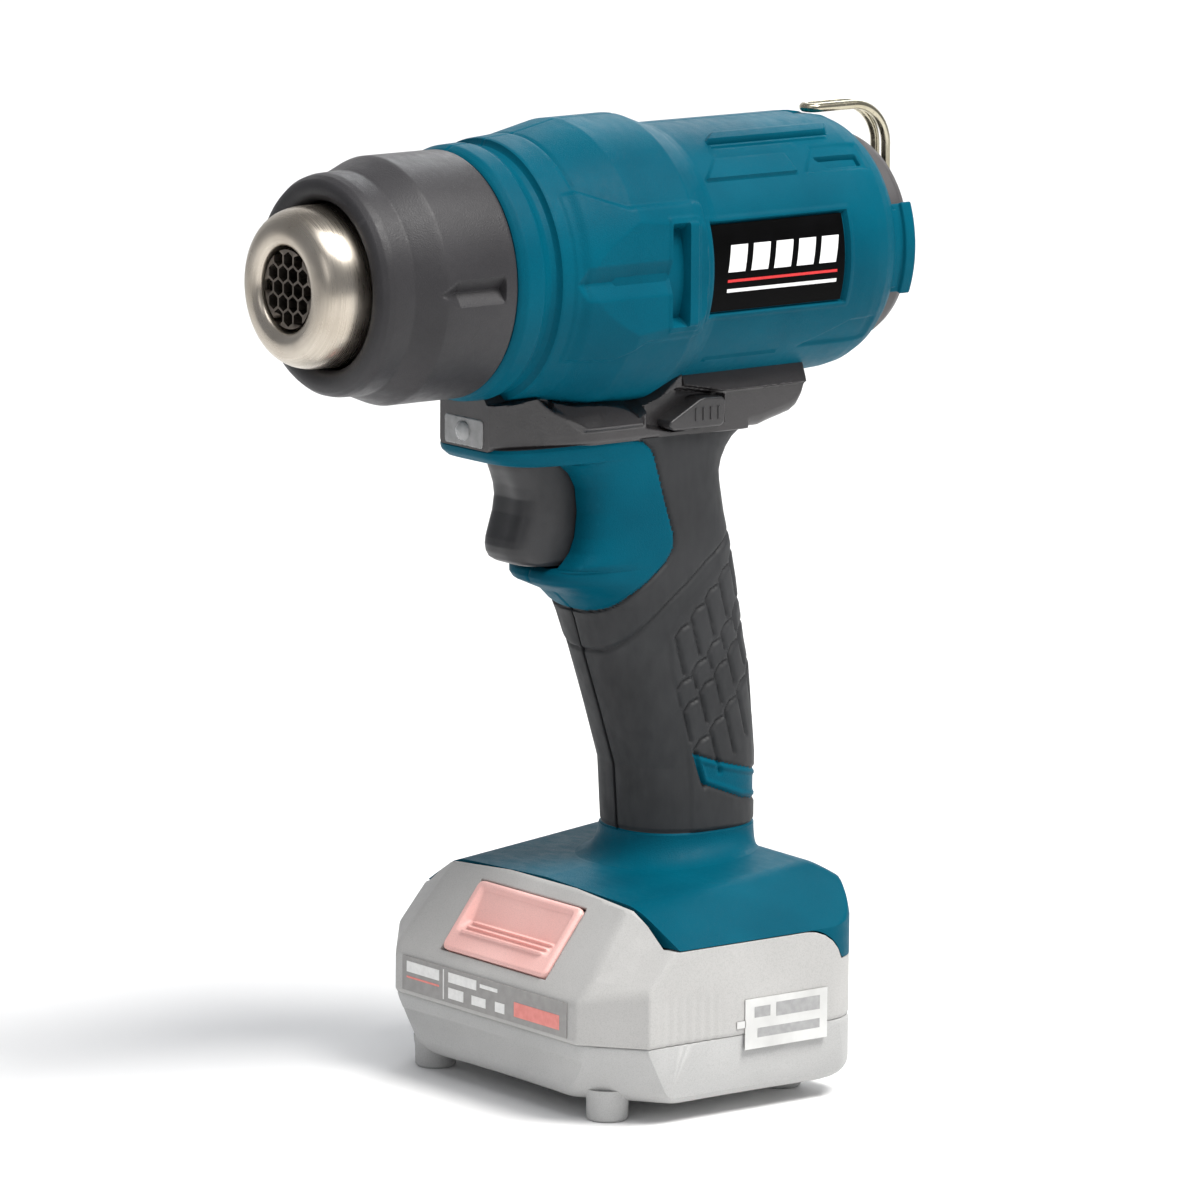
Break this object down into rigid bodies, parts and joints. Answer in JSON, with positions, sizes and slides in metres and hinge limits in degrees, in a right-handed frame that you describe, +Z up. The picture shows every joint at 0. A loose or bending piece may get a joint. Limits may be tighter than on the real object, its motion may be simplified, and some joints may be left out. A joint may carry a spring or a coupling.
{
  "type": "cordless heat gun",
  "caption": "Pistol-grip battery heat gun: barrel with fan, heater and steel nozzle, trigger handle, wide foot on a slide-on battery pack, fold-over hanging hook.",
  "frame": {"origin": "on the ground plane under the middle of the object's box, with the tool standing on its battery pack", "axes": "+X forward along the barrel to the nozzle, +Y to the tool's left, +Z up"},
  "size_m": [0.1926, 0.1076, 0.2498],
  "materials": {
    "teal_shell": "fine spark-eroded satin",
    "grip_rubber": "matt soft rubber",
    "guard_plastic": "fine grained matt",
    "nozzle_steel": "turned and polished, warm from heat",
    "sieve_steel": "satin",
    "shield_steel": "mill finish",
    "mica": "matt laminated",
    "ceramic_former": "unglazed",
    "resistance_wire": "oxidised",
    "cutout_case": "pressed",
    "duct_plastic": "glass-filled, matt",
    "fan_plastic": "moulded",
    "shaft_steel": "ground",
    "motor_steel": "zinc plated",
    "magnet_ceramic": "ferrite",
    "armature_copper": "laminated core with copper winding",
    "black_plastic": "moulded",
    "cap_plastic": "grey matt",
    "hook_wire": "bright zinc plated",
    "label_face": "printed film, black with plain bars",
    "clear_lens": "moulded clear, slightly frosted",
    "circuit_board": "solder mask",
    "trigger_plastic": "satin moulded",
    "spring_steel": "drawn wire",
    "lock_plastic": "satin moulded",
    "lead_insulation": "silicone",
    "contact_brass": "stamped",
    "screw_steel": "black zinc",
    "pack_plastic": "pale grey satin",
    "pack_lower_plastic": "pale grey satin",
    "cell_case": "shrink sleeve",
    "nickel_strip": "spot-welded strip",
    "pack_label": "printed film, plain bars",
    "silver_label": "brushed foil film",
    "latch_plastic": "pale red satin"
  },
  "bodies": {
    "tool": {"housing_left": "teal_shell", "housing_right": "teal_shell", "grip_left": "grip_rubber", "grip_right": "grip_rubber", "nozzle_guard": "guard_plastic", "nozzle_tube": "nozzle_steel", "outlet_honeycomb": "sieve_steel", "heat_shield": "shield_steel", "mica_sleeve": "mica", "heater_core": "ceramic_former", "heater_coil": "resistance_wire", "heater_mount": "ceramic_former", "thermal_cutout": "cutout_case", "air_duct": "duct_plastic", "motor_can": "motor_steel", "motor_magnets": "magnet_ceramic", "motor_end_cap": "black_plastic", "motor_mount": "black_plastic", "dust_screen": "sieve_steel", "rear_cap": "cap_plastic", "label_left": "label_face", "label_right": "label_face", "led_lens": "clear_lens", "led_board": "circuit_board", "trigger_spring": "spring_steel", "switch_module": "black_plastic", "control_board": "circuit_board", "power_leads": "lead_insulation", "terminal_block": "black_plastic", "terminal_blades": "contact_brass", "housing_screws": "screw_steel"},
    "fan": {"fan_impeller": "fan_plastic", "fan_shaft": "shaft_steel", "motor_armature": "armature_copper"},
    "trigger": {"trigger": "trigger_plastic"},
    "lock": {"lock_button": "lock_plastic"},
    "hook_arm": {"hook": "hook_wire"},
    "latch": {"latch_button": "latch_plastic"},
    "battery": {"pack_upper_shell": "pack_plastic", "pack_lower_shell": "pack_lower_plastic", "pack_cells": "cell_case", "cell_strips": "nickel_strip", "pack_board": "circuit_board", "pack_contacts": "contact_brass", "pack_screws": "screw_steel", "pack_label_front": "pack_label", "pack_labels_side": "silver_label", "latch_spring": "spring_steel"}
  },
  "joints": [
    {"name": "fan_spin", "type": "hinge", "parent": "tool", "child": "fan", "pos_m": [-0.01345, 0, 0.213], "axis": [1, 0, 0], "continuous": true},
    {"name": "trigger_pull", "type": "slide", "parent": "tool", "child": "trigger", "axis": [-1, 0, 0], "range_m": [0, 0.006], "stiffness_N_per_m": 600, "springref_m": -0.004, "deforming": ["trigger_spring"]},
    {"name": "lock_slide", "type": "slide", "parent": "tool", "child": "lock", "axis": [0, 1, 0], "range_m": [-0.002, 0.002]},
    {"name": "hook_swing", "type": "hinge", "parent": "tool", "child": "hook_arm", "pos_m": [-0.09345, 0, 0.217], "axis": [0, 1, 0], "range_deg": [-100, 0]},
    {"name": "pack_slide", "type": "slide", "parent": "tool", "child": "battery", "axis": [1, 0, 0], "range_m": [0, 0.085]},
    {"name": "latch_press", "type": "slide", "parent": "battery", "child": "latch", "axis": [-0.788, 0, -0.6157], "range_m": [0, 0.0025], "stiffness_N_per_m": 1500, "springref_m": -0.002, "deforming": ["latch_spring"]}
  ]
}
